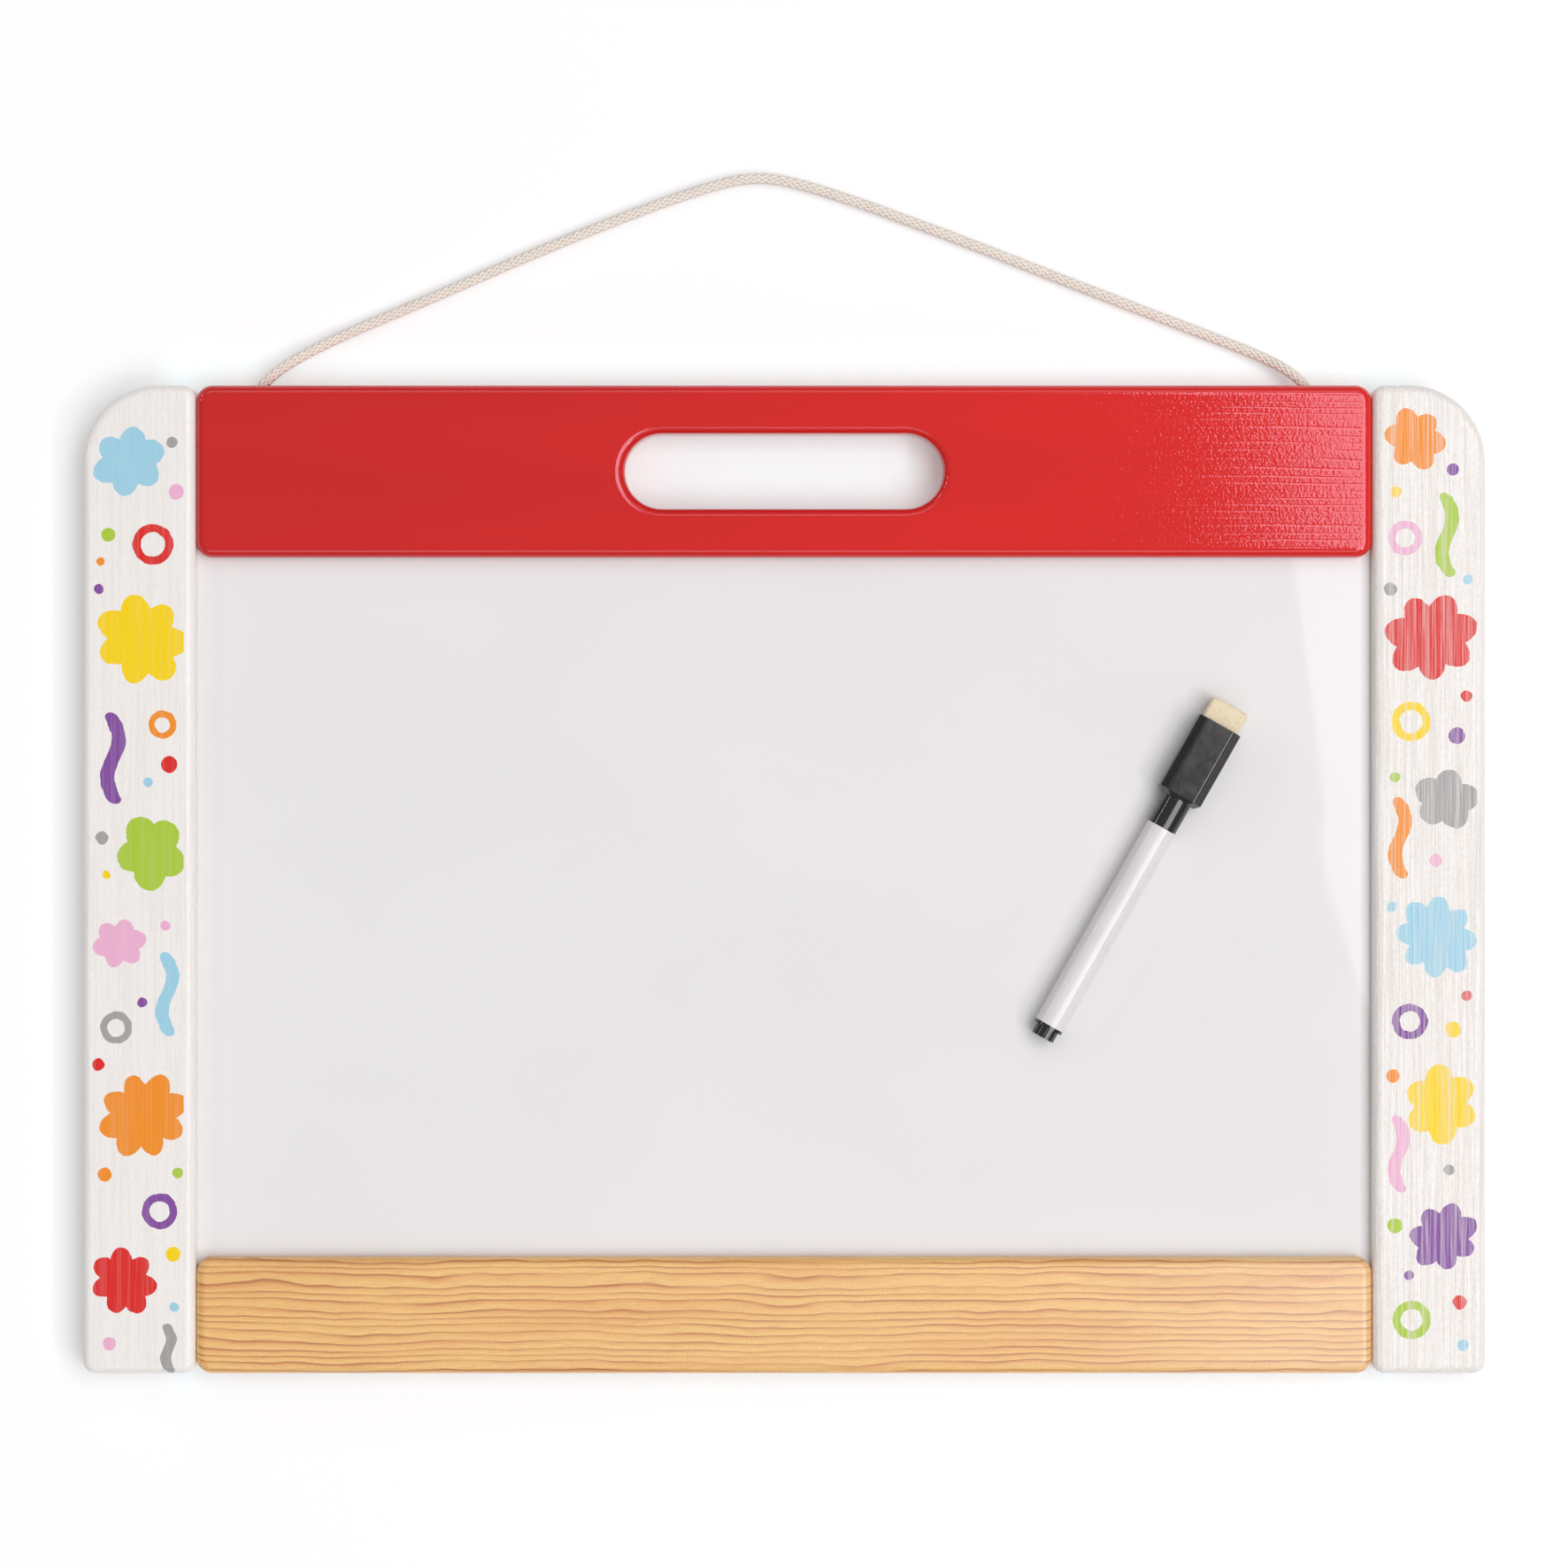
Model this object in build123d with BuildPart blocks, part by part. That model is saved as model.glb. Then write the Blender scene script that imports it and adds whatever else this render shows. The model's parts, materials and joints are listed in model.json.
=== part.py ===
# Wooden dry-erase board for children, with a hand slot, a hanging cord and a capped marker.
# The board lies on its back: +Z comes out of the writing face and +Y points to the slotted rail.
# The origin is the middle of the board's outline, on the plane of its back.

import os
from math import pi, radians, tan

from build123d import *

# Board
board_width = 440.0
board_height = 310.0
board_thickness = 15.0
stile_width = 35.5
top_rail_height = 54.0
bottom_rail_height = 36.5
edge_round = 3.0
shoulder_radius = 24.0
stile_corner = 4.0
rail_corner = 5.0
slot_length = 100.0
slot_height = 23.5
glue_gap = 0.1

# Writing panel and its grooves
sheet_thickness = 0.5
backing_thickness = 2.5
panel_bite = 6.0
groove_play = 0.1
groove_end_play = 0.5

# Dowels, placed from the outer edge of each rail
dowel_diameter = 6.0
dowel_length = 24.0
dowel_chamfer = 0.6
dowel_play = 0.1
dowel_end_play = 0.5
top_dowel_offsets = (20.0, 38.0)
bottom_dowel_offsets = (9.0, 22.0)

# Hanging cord
cord_diameter = 3.5
cord_inset = 19.4
cord_grip = 15.0
cord_hole_play = 0.25
cord_hole_mouth = 1.2
cord_hole_end_play = 0.5
cord_swing_gap = 0.3
cord_floor_gap = 0.15

# Marker: its tail is placed from the lower right corner of the opening
marker_tail_left = 103.5
marker_tail_up = 69.0
marker_angle = 60.4
marker_rest_gap = 0.2
barrel_diameter = 9.6
barrel_wall = 1.1
barrel_length = 71.2
flange_thickness = 1.0
knob_diameter = 7.4
knob_length = 3.4
knob_flutes = 12
flute_diameter = 0.9
plug_spigot = 5.0
press_play = 0.05
reservoir_diameter = 6.6
reservoir_end_play = 0.1
neck_diameter = 7.6
neck_length = 9.0
neck_spigot = 8.0
cone_length = 9.0
cone_tip_diameter = 4.6
nib_diameter = 2.8
nib_reach = 5.0
nib_tip_round = 1.2

# Cap and its eraser
cap_seat_gap = 0.2
cap_play = 0.2
skirt_length = 11.3
holder_length = 25.4
holder_width = 14.5
holder_rise = 6.0
holder_slope = 2.6
holder_corner = 1.0
holder_edge = 0.9
holder_lip = 0.3
shoulder_inset = 1.5
cap_end_room = 2.0
felt_width = 12.4
felt_height = 6.6
felt_floor = 1.2
felt_corner = 1.2
felt_reach = 7.1
felt_socket = 6.0
felt_play = 0.1

# Lines that the pieces share
top_edge = board_height / 2
bottom_edge = -board_height / 2
stile_inside = board_width / 2 - stile_width
stile_middle = board_width / 2 - stile_width / 2
rail_end = stile_inside - glue_gap
cord_exit = rail_end - cord_inset
opening_top = top_edge - top_rail_height
opening_bottom = bottom_edge + bottom_rail_height
opening_height = opening_top - opening_bottom
opening_middle = (opening_top + opening_bottom) / 2
middle_height = board_thickness / 2

panel_thickness = sheet_thickness + backing_thickness
panel_back = middle_height - panel_thickness / 2
panel_front = panel_back + panel_thickness
panel_width = 2 * (stile_inside + panel_bite)
panel_height = opening_height + 2 * panel_bite
groove_width = panel_thickness + 2 * groove_play
groove_depth = panel_bite + groove_end_play

dowel_hole_diameter = dowel_diameter + 2 * dowel_play
dowel_hole_depth = dowel_length / 2 + dowel_end_play
top_dowel_lines = [top_edge - offset for offset in top_dowel_offsets]
bottom_dowel_lines = [bottom_edge + offset for offset in bottom_dowel_offsets]

os.makedirs("parts", exist_ok=True)


def write(part, name):
    """Label a finished piece and write it as one file."""
    part.label = name
    export_step(part, f"parts/{name}.step")


def face_edges(part):
    """The edges round the front and the back face of a flat board."""
    by_height = part.edges().group_by(Axis.Z)
    return by_height[0] + by_height[-1]


# Top rail
with BuildPart() as top_rail:
    with BuildSketch() as rail_outline:
        with Locations((0, top_edge - top_rail_height / 2)):
            RectangleRounded(2 * rail_end, top_rail_height, rail_corner)
            SlotOverall(slot_length, slot_height, mode=Mode.SUBTRACT)
    extrude(amount=board_thickness)
    fillet(face_edges(top_rail), edge_round)
    with BuildSketch(Plane.YZ) as groove_section:
        with Locations((opening_top + groove_depth / 2, middle_height)):
            Rectangle(groove_depth, groove_width)
    extrude(amount=rail_end, both=True, mode=Mode.SUBTRACT)
    for side in (-1, 1):
        with BuildSketch(Plane.YZ.offset(side * rail_end)) as dowel_holes:
            with Locations([(line, middle_height) for line in top_dowel_lines]):
                Circle(dowel_hole_diameter / 2)
        extrude(amount=-side * dowel_hole_depth, mode=Mode.SUBTRACT)
    with BuildSketch(Plane.XZ.offset(-top_edge)) as cord_holes:
        with Locations((-cord_exit, middle_height), (cord_exit, middle_height)):
            Circle(cord_diameter / 2 + cord_hole_play)
    extrude(amount=cord_grip + cord_hole_end_play, mode=Mode.SUBTRACT)
    edge_face = top_rail.faces().sort_by(Axis.Y)[-1]
    chamfer(edge_face.inner_wires().edges(), cord_hole_mouth)
write(top_rail.part, "top_rail")

# Bottom rail
with BuildPart() as bottom_rail:
    with BuildSketch() as rail_outline:
        with Locations((0, bottom_edge + bottom_rail_height / 2)):
            RectangleRounded(2 * rail_end, bottom_rail_height, rail_corner)
    extrude(amount=board_thickness)
    fillet(face_edges(bottom_rail), edge_round)
    with BuildSketch(Plane.YZ) as groove_section:
        with Locations((opening_bottom - groove_depth / 2, middle_height)):
            Rectangle(groove_depth, groove_width)
    extrude(amount=rail_end, both=True, mode=Mode.SUBTRACT)
    for side in (-1, 1):
        with BuildSketch(Plane.YZ.offset(side * rail_end)) as dowel_holes:
            with Locations([(line, middle_height) for line in bottom_dowel_lines]):
                Circle(dowel_hole_diameter / 2)
        extrude(amount=-side * dowel_hole_depth, mode=Mode.SUBTRACT)
write(bottom_rail.part, "bottom_rail")

# Stiles: the round shoulder is on the outer top corner, and the groove stops inside both ends
with BuildPart() as right_stile:
    with BuildSketch() as stile_outline:
        with Locations((stile_middle, 0)):
            Rectangle(stile_width, board_height)
        fillet(stile_outline.vertices().group_by(Axis.Y)[0], stile_corner)
        fillet(stile_outline.vertices().group_by(Axis.Y)[-1].sort_by(Axis.X)[0], stile_corner)
        fillet(stile_outline.vertices().group_by(Axis.Y)[-1].sort_by(Axis.X)[-1], shoulder_radius)
    extrude(amount=board_thickness)
    fillet(face_edges(right_stile), edge_round)
    with BuildSketch(Plane.YZ.offset(stile_inside)) as groove_mouth:
        with Locations((opening_middle, middle_height)):
            Rectangle(panel_height + 2 * groove_end_play, groove_width)
    extrude(amount=groove_depth, mode=Mode.SUBTRACT)
    with BuildSketch(Plane.YZ.offset(stile_inside)) as dowel_holes:
        with Locations([(line, middle_height) for line in top_dowel_lines + bottom_dowel_lines]):
            Circle(dowel_hole_diameter / 2)
    extrude(amount=dowel_hole_depth, mode=Mode.SUBTRACT)
write(right_stile.part, "right_stile")

with BuildPart() as left_stile:
    mirror(right_stile.part, about=Plane.YZ)
write(left_stile.part, "left_stile")

# Writing panel: a gloss sheet bonded to a hardboard back, held in the grooves
with BuildPart() as backing_board:
    with BuildSketch(Plane.XY.offset(panel_back)) as panel_outline:
        with Locations((0, opening_middle)):
            Rectangle(panel_width, panel_height)
    extrude(amount=backing_thickness)
write(backing_board.part, "backing_board")

with BuildPart() as writing_sheet:
    with BuildSketch(Plane.XY.offset(panel_back + backing_thickness)) as panel_outline:
        with Locations((0, opening_middle)):
            Rectangle(panel_width, panel_height)
    extrude(amount=sheet_thickness)
write(writing_sheet.part, "writing_sheet")

# Dowels: one pair in each corner, half in the rail and half in the stile
for corner, side, lines in (
    ("top_left_dowels", -1, top_dowel_lines),
    ("top_right_dowels", 1, top_dowel_lines),
    ("bottom_left_dowels", -1, bottom_dowel_lines),
    ("bottom_right_dowels", 1, bottom_dowel_lines),
):
    joint_plane = Plane.YZ.offset(side * (stile_inside - glue_gap / 2))
    with BuildPart() as dowels:
        with BuildSketch(joint_plane) as dowel_section:
            with Locations([(line, middle_height) for line in lines]):
                Circle(dowel_diameter / 2)
        extrude(amount=dowel_length / 2, both=True)
        chamfer(dowels.edges().filter_by(GeomType.CIRCLE), dowel_chamfer)
    write(dowels.part, corner)

# Cord ends, glued into the top rail's edge
for name, side in (("left_cord_end", -1), ("right_cord_end", 1)):
    with BuildPart() as cord_end:
        with BuildSketch(Plane.XZ.offset(-top_edge)) as cord_section:
            with Locations((side * cord_exit, middle_height)):
                Circle(cord_diameter / 2)
        extrude(amount=cord_grip)
    write(cord_end.part, name)

# Hanging cord: it leaves the rail's edge at mid height, drops to the floor and rises to a blunt peak.
# The points are (along the rail, out from its edge, above the floor).
cord_radius = cord_diameter / 2
swing_line = cord_radius + cord_swing_gap
floor_line = cord_radius + cord_floor_gap
cord_route = [
    (-cord_exit, swing_line, middle_height),
    (8.0 - cord_exit, 8.5, 5.2),
    (23.0 - cord_exit, 16.3, 2.3),
    (-113.0, 27.6, floor_line),
    (-78.0, 42.9, floor_line),
    (-52.0, 53.4, floor_line),
    (-27.0, 62.6, floor_line),
    (-8.5, 67.2, floor_line),
    (11.0, 63.0, floor_line),
    (50.0, 49.0, floor_line),
    (97.0, 30.6, floor_line),
    (cord_exit - 35.0, 18.6, floor_line),
    (cord_exit - 15.0, 10.9, 2.6),
    (cord_exit - 5.5, 6.3, 5.4),
    (cord_exit, swing_line, middle_height),
]
arc_share = 0.45
cord_points = [Vector(along, top_edge + out, height) for along, out, height in cord_route]
cord_radii = []
for before, corner, after in zip(cord_points, cord_points[1:], cord_points[2:]):
    turn = (corner - before).get_angle(after - corner)
    shorter_run = min((corner - before).length, (after - corner).length)
    cord_radii.append(arc_share * shorter_run / tan(radians(turn / 2)))

with BuildPart() as hanging_cord:
    with BuildLine() as cord_path:
        FilletPolyline(*cord_points, radius=cord_radii)
    cord_line = cord_path.wires()[0]
    with BuildSketch(Plane(origin=cord_line @ 0, z_dir=cord_line % 0)) as cord_section:
        Circle(cord_radius)
    sweep(path=cord_line)
    tube_volume = hanging_cord.part.volume
    for end, outward in ((cord_line @ 0, -(cord_line % 0)), (cord_line @ 1, cord_line % 1)):
        with Locations(Plane(origin=end, z_dir=outward).location):
            Sphere(cord_radius, arc_size1=0, arc_size2=90, align=(Align.CENTER, Align.CENTER, Align.MIN))
write(hanging_cord.part, "hanging_cord")
cord_length = cord_line.length
print("cord radii", [round(radius, 1) for radius in cord_radii])
print("cord length", round(cord_length, 1), "with both ends", round(cord_length + 2 * cord_grip, 1))
print("tube volume by section times length", round(tube_volume / (pi * cord_radius**2 * cord_length), 4))

# Marker: it lies on the panel with its length along the plane's Z and its top side along the plane's Y
barrel_radius = barrel_diameter / 2
bore_radius = barrel_radius - barrel_wall
marker_tail = (
    stile_inside - marker_tail_left,
    opening_bottom + marker_tail_up,
    panel_front + marker_rest_gap + barrel_radius,
)
marker_axis = Axis(marker_tail, Vector(1, 0, 0).rotate(Axis.Z, marker_angle))
marker_plane = Plane(
    origin=marker_axis.position,
    x_dir=Vector(0, 1, 0).rotate(Axis.Z, marker_angle),
    z_dir=marker_axis.direction,
)
profile_plane = Plane(
    origin=marker_axis.position,
    x_dir=marker_axis.direction,
    z_dir=marker_plane.x_dir,
)
barrel_start = knob_length + flange_thickness
barrel_end = barrel_start + barrel_length
neck_end = barrel_end + neck_length
cone_end = neck_end + cone_length
nib_end = cone_end + nib_reach
reservoir_start = barrel_start + plug_spigot + reservoir_end_play
reservoir_end = barrel_end - neck_spigot - reservoir_end_play

with BuildPart() as marker_barrel:
    with BuildSketch(marker_plane.offset(barrel_start)) as barrel_section:
        Circle(barrel_radius)
        Circle(bore_radius, mode=Mode.SUBTRACT)
    extrude(amount=barrel_length)
write(marker_barrel.part, "marker_barrel")

with BuildPart() as marker_end_plug:
    with BuildSketch(marker_plane) as knob_section:
        Circle(knob_diameter / 2)
        with PolarLocations(knob_diameter / 2, knob_flutes):
            Circle(flute_diameter / 2, mode=Mode.SUBTRACT)
    extrude(amount=knob_length)
    with BuildSketch(marker_plane.offset(knob_length)) as flange_section:
        Circle(barrel_radius)
    extrude(amount=flange_thickness)
    with BuildSketch(marker_plane.offset(barrel_start)) as spigot_section:
        Circle(bore_radius - press_play)
    extrude(amount=plug_spigot)
write(marker_end_plug.part, "marker_end_plug")

with BuildPart() as ink_reservoir:
    with BuildSketch(marker_plane.offset(reservoir_start)) as rod_section:
        Circle(reservoir_diameter / 2)
    extrude(amount=reservoir_end - reservoir_start)
write(ink_reservoir.part, "ink_reservoir")

# Nib holder: a spigot in the barrel, the neck that the cap grips and a cone, bored for the nib
nib_bore_radius = nib_diameter / 2 + press_play
with BuildPart() as nib_holder:
    with BuildSketch(profile_plane) as holder_profile:
        with BuildLine() as holder_line:
            Polyline(
                (barrel_end - neck_spigot, nib_bore_radius),
                (barrel_end - neck_spigot, bore_radius - press_play),
                (barrel_end, bore_radius - press_play),
                (barrel_end, neck_diameter / 2),
                (neck_end, neck_diameter / 2),
                (cone_end, cone_tip_diameter / 2),
                (cone_end, nib_bore_radius),
                close=True,
            )
        make_face()
    revolve(axis=marker_axis)
write(nib_holder.part, "nib_holder")

with BuildPart() as marker_nib:
    with BuildSketch(marker_plane.offset(barrel_end - neck_spigot)) as nib_section:
        Circle(nib_diameter / 2)
    extrude(amount=nib_end - barrel_end + neck_spigot)
    tip = marker_nib.edges().filter_by(GeomType.CIRCLE).sort_by(marker_axis)[-1]
    fillet(tip, nib_tip_round)
write(marker_nib.part, "marker_nib")

# Cap: a round skirt, a block with a flat underside, sloped top edges and a drawn-in shoulder,
# and a socket for the felt
cap_start = barrel_end + cap_seat_gap
holder_start = cap_start + skirt_length
holder_end = holder_start + holder_length
felt_middle = felt_floor + felt_height / 2 - barrel_radius
cap_bore_end = nib_end + cap_end_room
with BuildPart() as marker_cap:
    for place, inset in ((holder_start - shoulder_inset, shoulder_inset), (holder_start, 0)):
        side = holder_width / 2 - inset
        top = holder_rise - inset
        with BuildSketch(marker_plane.offset(place)) as block_section:
            with BuildLine() as block_line:
                FilletPolyline(
                    (-side, inset - barrel_radius),
                    (side, inset - barrel_radius),
                    (side, top - holder_slope),
                    (side - holder_slope, top),
                    (holder_slope - side, top),
                    (-side, top - holder_slope),
                    radius=2 * [holder_corner] + 4 * [holder_edge],
                    close=True,
                )
            make_face()
    loft(ruled=True)
    extrude(marker_cap.faces().sort_by(marker_axis)[-1], amount=holder_length)
    fillet(marker_cap.faces().sort_by(marker_axis)[-1].edges(), holder_lip)
    with BuildSketch(marker_plane.offset(cap_start)) as skirt_section:
        Circle(barrel_radius)
    extrude(amount=skirt_length)
    with BuildSketch(marker_plane.offset(cap_start)) as bore_section:
        Circle(neck_diameter / 2 + cap_play)
    extrude(amount=cap_bore_end - cap_start, mode=Mode.SUBTRACT)
    with BuildSketch(marker_plane.offset(holder_end)) as socket_section:
        with Locations((0, felt_middle)):
            RectangleRounded(felt_width + 2 * felt_play, felt_height + 2 * felt_play, felt_corner)
    extrude(amount=-felt_socket, mode=Mode.SUBTRACT)
write(marker_cap.part, "marker_cap")

with BuildPart() as felt_eraser:
    with BuildSketch(marker_plane.offset(holder_end - felt_socket)) as felt_section:
        with Locations((0, felt_middle)):
            RectangleRounded(felt_width, felt_height, felt_corner)
    extrude(amount=felt_socket + felt_reach)
write(felt_eraser.part, "felt_eraser")
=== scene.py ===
"""Finishes, cord, eraser and studio for a children's wooden dry-erase board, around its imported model."""

import json
from math import cos, pi, sin

import bpy
from bpy.props import FloatProperty, FloatVectorProperty, IntProperty, PointerProperty
from mathutils import Matrix, Vector, noise


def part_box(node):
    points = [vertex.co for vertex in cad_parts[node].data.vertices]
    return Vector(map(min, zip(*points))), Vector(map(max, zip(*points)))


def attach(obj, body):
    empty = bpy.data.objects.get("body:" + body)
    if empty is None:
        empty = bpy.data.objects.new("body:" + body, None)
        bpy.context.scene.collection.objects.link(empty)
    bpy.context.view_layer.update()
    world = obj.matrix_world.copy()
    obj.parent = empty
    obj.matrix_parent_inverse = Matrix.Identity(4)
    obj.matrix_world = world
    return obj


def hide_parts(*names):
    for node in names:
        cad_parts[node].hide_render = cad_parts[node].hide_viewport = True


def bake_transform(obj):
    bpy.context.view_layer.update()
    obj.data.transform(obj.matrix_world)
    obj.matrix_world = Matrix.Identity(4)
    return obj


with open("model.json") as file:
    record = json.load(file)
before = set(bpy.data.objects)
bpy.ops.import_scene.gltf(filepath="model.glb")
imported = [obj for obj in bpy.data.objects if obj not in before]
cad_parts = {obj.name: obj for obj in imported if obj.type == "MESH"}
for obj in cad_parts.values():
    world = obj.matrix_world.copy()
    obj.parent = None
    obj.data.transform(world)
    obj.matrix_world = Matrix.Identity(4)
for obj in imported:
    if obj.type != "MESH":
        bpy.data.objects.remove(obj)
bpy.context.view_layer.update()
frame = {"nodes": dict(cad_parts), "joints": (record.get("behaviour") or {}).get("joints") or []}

bl_info = {
    "name": "Dry-erase board",
    "version": (1, 0, 0),
    "blender": (4, 5, 0),
    "location": "View3D > Sidebar > Board",
    "description": "Finishes, hanging cord, felt eraser and studio for a wooden dry-erase board",
    "category": "Object",
}

MM = 0.001
SHADER = "Principled BSDF"

# The cord's route, from the bottom of one blind hole to the bottom of the other
CORD_ROUTE = [
    (-0.1650, 0.1400, 0.0075),
    (-0.1655, 0.1485, 0.0075),
    (-0.1656, 0.1524, 0.0075),
    (-0.1638, 0.1562, 0.0071),
    (-0.1565, 0.1624, 0.0052),
    (-0.1420, 0.1704, 0.0024),
    (-0.1130, 0.1826, 0.0019),
    (-0.0780, 0.1979, 0.0019),
    (-0.0520, 0.2084, 0.0019),
    (-0.0270, 0.2176, 0.0019),
    (-0.0085, 0.2222, 0.0019),
    (0.0110, 0.2180, 0.0019),
    (0.0500, 0.2040, 0.0019),
    (0.0970, 0.1856, 0.0019),
    (0.1300, 0.1730, 0.0019),
    (0.1500, 0.1652, 0.0027),
    (0.1582, 0.1607, 0.0056),
    (0.1636, 0.1560, 0.0072),
    (0.1656, 0.1526, 0.0075),
    (0.1655, 0.1485, 0.0075),
    (0.1650, 0.1400, 0.0075),
]

# Painted motifs on the stiles: kind, colour, millimetres right of the stile's middle, millimetres up
# from the board's middle, size in millimetres, then what the kind needs
LEFT_MOTIFS = [
    ("dab", "blue", -3.0, 131.0, 11.0, 6, 0.4),
    ("dot", "grey", 10.5, 137.0, 1.7),
    ("dot", "pink", 11.8, 121.5, 2.4),
    ("ring", "red", 4.5, 105.0, 6.4, 2.6),
    ("dot", "lime", -9.5, 108.0, 2.2),
    ("dot", "orange", -12.0, 99.5, 1.3),
    ("dab", "yellow", 1.0, 75.0, 14.2, 7, 1.7),
    ("dot", "purple", -12.4, 91.0, 1.6),
    ("stroke", "purple", -8.0, 38.0, 12.0, 4.6),
    ("ring", "orange", 7.5, 48.5, 4.4, 2.0),
    ("dot", "red", 9.6, 36.0, 2.6),
    ("dot", "blue", 3.0, 30.5, 1.5),
    ("dab", "lime", 4.0, 8.5, 11.4, 5, 2.6),
    ("dot", "grey", -11.5, 13.0, 2.0),
    ("dot", "yellow", -10.0, 1.5, 1.4),
    ("dab", "pink", -6.0, -20.0, 8.0, 6, 0.9),
    ("dot", "pink", 8.4, -14.5, 1.6),
    ("stroke", "blue", 9.0, -36.0, 11.0, 4.2),
    ("dot", "purple", 1.2, -38.5, 1.5),
    ("ring", "grey", -7.0, -46.5, 5.0, 2.2),
    ("dab", "orange", 1.5, -74.0, 13.6, 8, 0.3),
    ("dot", "red", -12.6, -58.0, 1.9),
    ("dot", "lime", 12.2, -92.0, 1.7),
    ("dot", "orange", -10.6, -92.5, 2.2),
    ("ring", "purple", 6.6, -104.0, 5.6, 2.4),
    ("dab", "red", -4.6, -126.0, 10.4, 7, 2.1),
    ("dot", "yellow", 10.8, -117.5, 2.3),
    ("dot", "blue", 11.2, -134.0, 1.5),
    ("stroke", "grey", 9.4, -147.0, 6.0, 3.4),
    ("dot", "pink", -9.2, -145.5, 2.1),
]
RIGHT_MOTIFS = [
    ("dab", "orange", -4.5, 138.0, 9.6, 6, 2.0),
    ("dot", "purple", 7.4, 128.5, 1.9),
    ("dot", "yellow", -10.5, 121.5, 1.7),
    ("stroke", "lime", 5.5, 108.0, 11.0, 4.4),
    ("ring", "pink", -7.6, 107.0, 5.4, 2.4),
    ("dot", "blue", 12.0, 94.0, 1.5),
    ("dab", "red", 0.5, 76.0, 14.0, 7, 0.6),
    ("dot", "grey", -12.2, 91.0, 2.1),
    ("dot", "red", 11.6, 57.5, 1.8),
    ("ring", "yellow", -5.8, 49.5, 6.2, 2.6),
    ("dot", "purple", 8.6, 45.0, 2.6),
    ("dab", "grey", 5.2, 25.0, 9.8, 5, 1.2),
    ("dot", "lime", -10.8, 32.0, 1.6),
    ("stroke", "orange", -9.2, 13.0, 10.5, 4.4),
    ("dot", "pink", 2.0, 6.0, 2.0),
    ("dab", "blue", 2.2, -18.0, 12.6, 8, 1.9),
    ("dot", "blue", -11.8, -8.5, 1.5),
    ("dot", "red", 11.6, -36.5, 1.6),
    ("ring", "purple", -6.2, -44.5, 5.6, 2.4),
    ("dot", "yellow", 7.4, -47.0, 2.5),
    ("dab", "yellow", 3.6, -70.5, 11.8, 6, 2.9),
    ("dot", "orange", -11.4, -61.5, 2.1),
    ("stroke", "pink", -9.6, -86.0, 10.0, 4.2),
    ("dot", "grey", 6.2, -91.0, 1.7),
    ("dab", "purple", 4.4, -112.0, 10.6, 7, 0.2),
    ("dot", "lime", -10.8, -108.5, 2.4),
    ("dot", "purple", -6.4, -124.0, 1.5),
    ("ring", "lime", -5.6, -138.0, 6.0, 2.6),
    ("dot", "red", 9.4, -132.5, 2.2),
    ("dot", "blue", 10.4, -146.0, 1.8),
]


def rgb(red, green, blue):
    """A screen colour from 0 to 255, as the linear colour that shaders take."""
    shares = (red / 255, green / 255, blue / 255)
    return tuple(s / 12.92 if s <= 0.04045 else ((s + 0.055) / 1.055) ** 2.4 for s in shares)


def colour(name, description, red, green, blue):
    """A colour property with its default given as a screen colour."""
    return FloatVectorProperty(
        name=name, description=description, subtype="COLOR", size=3, min=0, max=1,
        default=rgb(red, green, blue),
    )


def length(name, description, default):
    """A length property in metres."""
    return FloatProperty(
        name=name, description=description, default=default, unit="LENGTH", min=0, precision=5,
    )


def number(name, description, default):
    """A plain number property that isn't negative."""
    return FloatProperty(name=name, description=description, default=default, min=0, precision=4)


class BoardColours(bpy.types.PropertyGroup):
    """Colours of the board's and the marker's materials."""

    red: colour("Red lacquer", "Lacquer on the top rail", 224, 32, 23)
    pine_pale: colour("Pale pine", "Early wood of the bottom rail", 247, 197, 115)
    pine_deep: colour("Deep pine", "Soft bands between the rings", 224, 150, 66)
    pine_line: colour("Pine line", "Late wood lines", 176, 106, 46)
    paint: colour("White paint", "Ground coat of the stiles", 246, 243, 239)
    sheet: colour("Sheet", "Dry-erase sheet", 236, 235, 235)
    hardboard: colour("Hardboard", "Back of the panel", 140, 103, 70)
    beech: colour("Beech", "Dowels", 204, 164, 120)
    cotton: colour("Cotton", "Hanging cord", 252, 243, 232)
    barrel: colour("White plastic", "Marker barrel", 230, 226, 228)
    black: colour("Black plastic", "Cap, end plug and nib holder", 24, 22, 22)
    fibre: colour("Fibre", "Nib and ink reservoir", 30, 30, 33)
    felt: colour("Felt", "Eraser", 243, 228, 198)


class PrintColours(bpy.types.PropertyGroup):
    """Colours of the paint motifs on the stiles."""

    yellow: colour("Yellow", "Yellow motifs", 250, 214, 20)
    orange: colour("Orange", "Orange motifs", 244, 146, 40)
    red: colour("Red", "Red motifs", 222, 44, 40)
    purple: colour("Purple", "Purple motifs", 134, 80, 160)
    pink: colour("Pink", "Pink motifs", 238, 180, 210)
    blue: colour("Light blue", "Light blue motifs", 160, 210, 230)
    grey: colour("Grey", "Grey motifs", 164, 164, 162)
    lime: colour("Lime", "Lime motifs", 172, 205, 60)


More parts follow.
